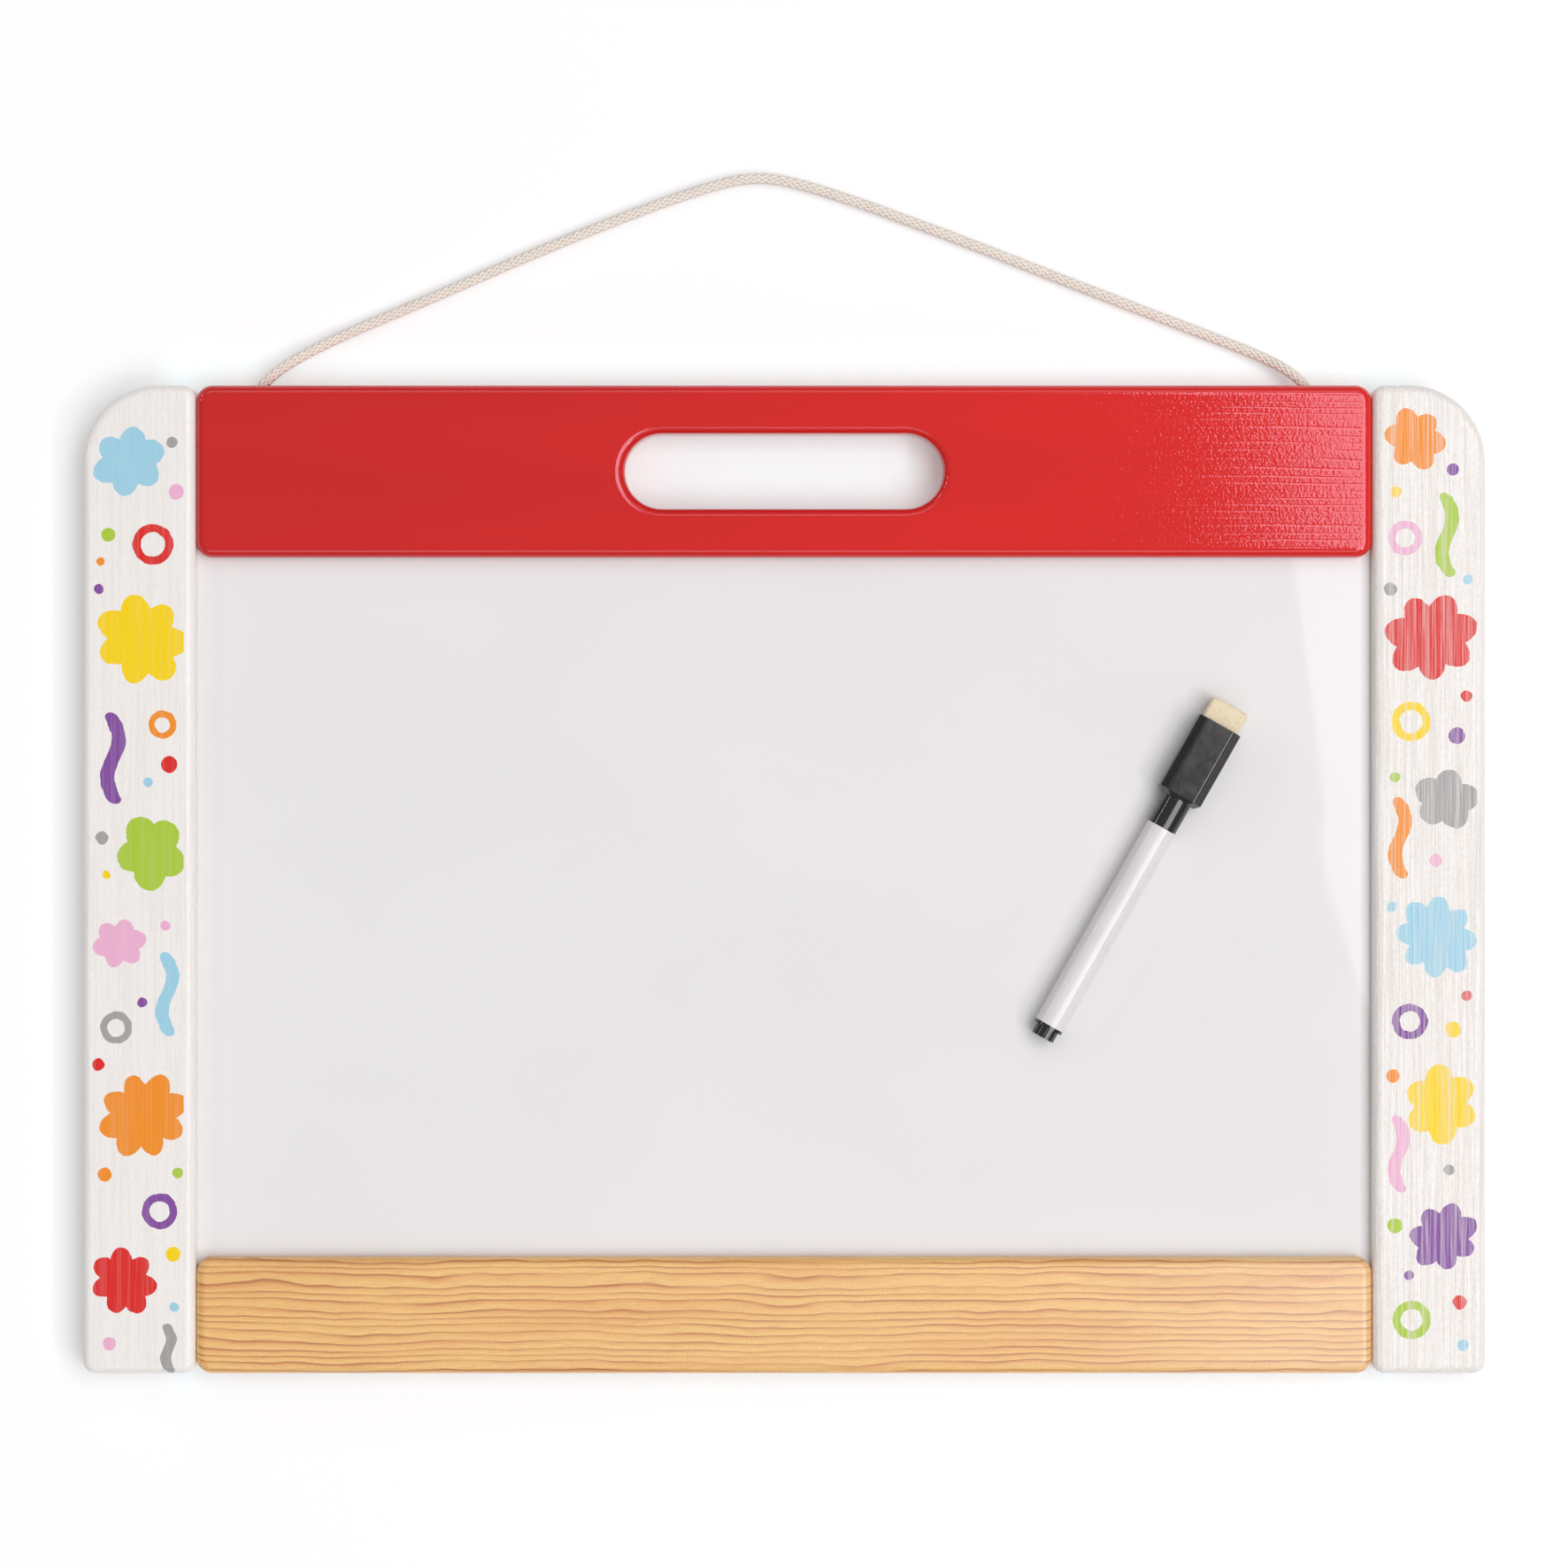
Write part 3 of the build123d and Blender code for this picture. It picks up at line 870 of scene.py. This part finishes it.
class BOARD_OT_eraser(bpy.types.Operator):
    """Press the felt eraser into the end of the cap"""

    bl_idname = "board.eraser"
    bl_label = "Felt eraser"

    def execute(self, context):
        rounding = 1.1 * MM
        lump_size = 0.9 * MM
        lump_height = 0.12 * MM
        tuft_size = 0.4 * MM
        tuft_height = 0.05 * MM
        middle, directions, sizes = eraser_space()
        deselect()
        bpy.ops.mesh.primitive_cube_add(size=1)
        felt = context.object
        felt.name = "wool_eraser"
        felt.data.name = "wool_eraser"
        bpy.ops.object.mode_set(mode="EDIT")
        bpy.ops.mesh.select_all(action="SELECT")
        bpy.ops.transform.resize(value=sizes)
        bpy.ops.mesh.bevel(offset=rounding, segments=4, affect="EDGES")
        bpy.ops.mesh.select_all(action="SELECT")
        bpy.ops.mesh.subdivide(number_cuts=15)
        bpy.ops.object.mode_set(mode="OBJECT")
        for vertex in felt.data.vertices:
            lump = noise.noise_vector(vertex.co / lump_size) * lump_height
            tuft = noise.noise_vector(vertex.co / tuft_size) * tuft_height
            vertex.co += lump + tuft
        bpy.ops.object.shade_smooth()
        turn = Matrix(directions).transposed().to_4x4()
        felt.data.transform(Matrix.Translation(middle) @ turn)
        felt.data.materials.append(cream_felt(context.scene.board_colours))
        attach(felt, "cap")
        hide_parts("felt_eraser")
        return {"FINISHED"}


class BOARD_OT_stage(bpy.types.Operator):
    """Set up the floor, the lights and the camera"""

    bl_idname = "board.stage"
    bl_label = "Studio"

    def execute(self, context):
        stage = context.scene.board_stage
        self.add_floor(stage)
        self.add_world(context, stage)
        self.add_lights(stage)
        self.add_camera(context, stage)
        context.scene.view_settings.view_transform = "Standard"
        return {"FINISHED"}

    def add_floor(self, stage):
        """A matt floor that shows white, with the light that the rails throw on it taken back by tints
        painted into its colour.
        """
        shade_end = 0.27
        open_floor = 1.4
        slot_up = 128 * MM
        slot_half = 38 * MM
        slot = (Vector((-slot_half, slot_up)), Vector((slot_half, slot_up)))
        # Painted tints in the floor's colour beside the rails and under the slot, which take back the red
        # and pine light that the rails throw onto it: box, near distance, reach and tint for each
        painted_bounce_tints = (
            (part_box("top_rail"), 4 * MM, 19 * MM, (0.85, 0.97, 0.96)),
            (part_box("bottom_rail"), 4 * MM, 18 * MM, (0.8, 0.85, 0.88)),
            (slot, 10 * MM, 22 * MM, (0.745, 0.85, 0.85)),
        )
        deselect()
        bpy.ops.mesh.primitive_plane_add(size=stage.floor_size, location=(0, 0, -0.1 * MM))
        floor = bpy.context.object
        floor.name = "floor"
        material, place = new_material("pale_floor")
        path = place.tree.nodes.new("ShaderNodeLightPath")
        kinds = ("Camera", "Glossy", "Transmission")
        camera, glossy, through = [Field(place.tree, path.outputs[f"Is {kind} Ray"]) for kind in kinds]
        seen = camera + glossy + through
        seen = seen.math("MINIMUM", seen, 1.0)
        x, y, _ = place.axes()
        far = ((x * x + y * y) ** 0.5).ramp(shade_end, open_floor)
        glow = far.mix((stage.floor_glow,) * 3, (stage.far_glow,) * 3)
        ground = (0.8, 0.8, 0.8)
        for box, near, reach, tint in painted_bounce_tints:
            ground = self.beside(x, y, box, near, reach).mix(ground, tint)
        dress(place, {
            "Base Color": ground,
            "Roughness": 0.9,
            "Specular IOR Level": 0.0,
            "Emission Color": seen.mix((0.0, 0.0, 0.0), glow),
            "Emission Strength": 1.0,
        })
        floor.data.materials.append(material)

    def beside(self, x, y, box, near, reach):
        """1 up to a near distance round a box on the floor, falling to 0 where its reach ends."""
        low, high = box
        gaps = []
        for axis, start, end in ((x, low.x, high.x), (y, low.y, high.y)):
            gap = abs(axis - (start + end) / 2) - (end - start) / 2
            gaps.append(gap.math("MAXIMUM", gap, 0.0))
        return 1 - ((gaps[0] * gaps[0] + gaps[1] * gaps[1]) ** 0.5).ramp(near, reach)

    def add_world(self, context, stage):
        """Surroundings that are white in the picture and dimmer as a light."""
        world = bpy.data.worlds.new("studio")
        world.use_nodes = True
        tree = world.node_tree
        path = tree.nodes.new("ShaderNodeLightPath")
        camera = Field(tree, path.outputs["Is Camera Ray"])
        direction = Field(tree, tree.nodes.new("ShaderNodeTexCoord").outputs["Generated"])
        low = 1 - abs(direction.axes()[2])
        glow = low * (stage.horizon - stage.zenith) + stage.zenith
        background = tree.nodes["Background"]
        background.inputs["Color"].default_value = (1.0, 1.0, 1.0, 1.0)
        camera.feed(background.inputs["Strength"], camera * (1 - glow) + glow)
        context.scene.world = world

    def add_lights(self, stage):
        """Three softboxes and two strip lights, each with its place, size, turn and brightness."""
        height = stage.lamp_height
        lights = (
            ("key_softbox", (2.35, -0.238, stage.key_height), (3.2, 5.2), 7.0, stage.key_radiance),
            ("fill_softbox", (-0.1, -2.3, height), (3.0, 1.6), 0.0, stage.fill_radiance),
            ("back_softbox", (0.1, 2.3, height), (3.0, 1.6), 0.0, stage.back_radiance),
            ("right_strip", (3.9, -2.5, stage.key_height), (0.35, 2.8), 0.0, stage.strip_radiance),
            ("left_strip", (-3.2, 2.2, 0.75 * height), (0.15, 3.0), 0.0, stage.strip_radiance),
        )
        for light in lights:
            self.add_softbox(*light)
        bpy.data.lights["key_softbox"].color = stage.key_colour

    def add_softbox(self, name, place, size, turn, radiance):
        """A rectangular lamp that faces down, turned by degrees about the vertical."""
        light = bpy.data.lights.new(name, "AREA")
        light.shape = "RECTANGLE"
        light.size, light.size_y = size
        light.energy = radiance * pi * size[0] * size[1]
        box = bpy.data.objects.new(name, light)
        box.location = place
        box.rotation_euler = (0, 0, turn * pi / 180)
        box.visible_camera = False
        bpy.context.scene.collection.objects.link(box)

    def add_camera(self, context, stage):
        """A camera straight above the board."""
        data = bpy.data.cameras.new("camera")
        data.sensor_width = 36.0
        data.lens = data.sensor_width * stage.camera_height / stage.view_width
        camera = bpy.data.objects.new("camera", data)
        camera.location = (0, stage.view_up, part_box("top_rail")[1].z + stage.camera_height)
        context.scene.collection.objects.link(camera)
        context.scene.camera = camera


class BOARD_PT_panel(bpy.types.Panel):
    """Steps and settings of the board"""

    bl_idname = "BOARD_PT_panel"
    bl_label = "Dry-erase board"
    bl_space_type = "VIEW_3D"
    bl_region_type = "UI"
    bl_category = "Board"

    def draw(self, context):
        for step in STEPS:
            self.layout.operator(step.bl_idname)
        for settings in SETTINGS:
            group = getattr(context.scene, settings)
            for name in group.__annotations__:
                self.layout.prop(group, name)


SETTINGS = {
    "board_colours": BoardColours,
    "board_prints": PrintColours,
    "board_cord": CordSizes,
    "board_stage": StageSettings,
}
STEPS = (
    BOARD_OT_top_rail,
    BOARD_OT_bottom_rail,
    BOARD_OT_stiles,
    BOARD_OT_panel,
    BOARD_OT_dowels,
    BOARD_OT_cord,
    BOARD_OT_marker,
    BOARD_OT_eraser,
    BOARD_OT_stage,
)


def register():
    """Register the classes and give the scene its settings."""
    for kind in (*SETTINGS.values(), *STEPS, BOARD_PT_panel):
        bpy.utils.register_class(kind)
    for name, kind in SETTINGS.items():
        setattr(bpy.types.Scene, name, PointerProperty(type=kind))


def unregister():
    """Take the settings and the classes away again."""
    for name in SETTINGS:
        delattr(bpy.types.Scene, name)
    for kind in reversed((*SETTINGS.values(), *STEPS, BOARD_PT_panel)):
        bpy.utils.unregister_class(kind)


def main():
    """Register the classes, then run every step."""
    register()
    for step in STEPS:
        group, name = step.bl_idname.split(".")
        getattr(getattr(bpy.ops, group), name)()


if __name__ == "__main__":
    main()
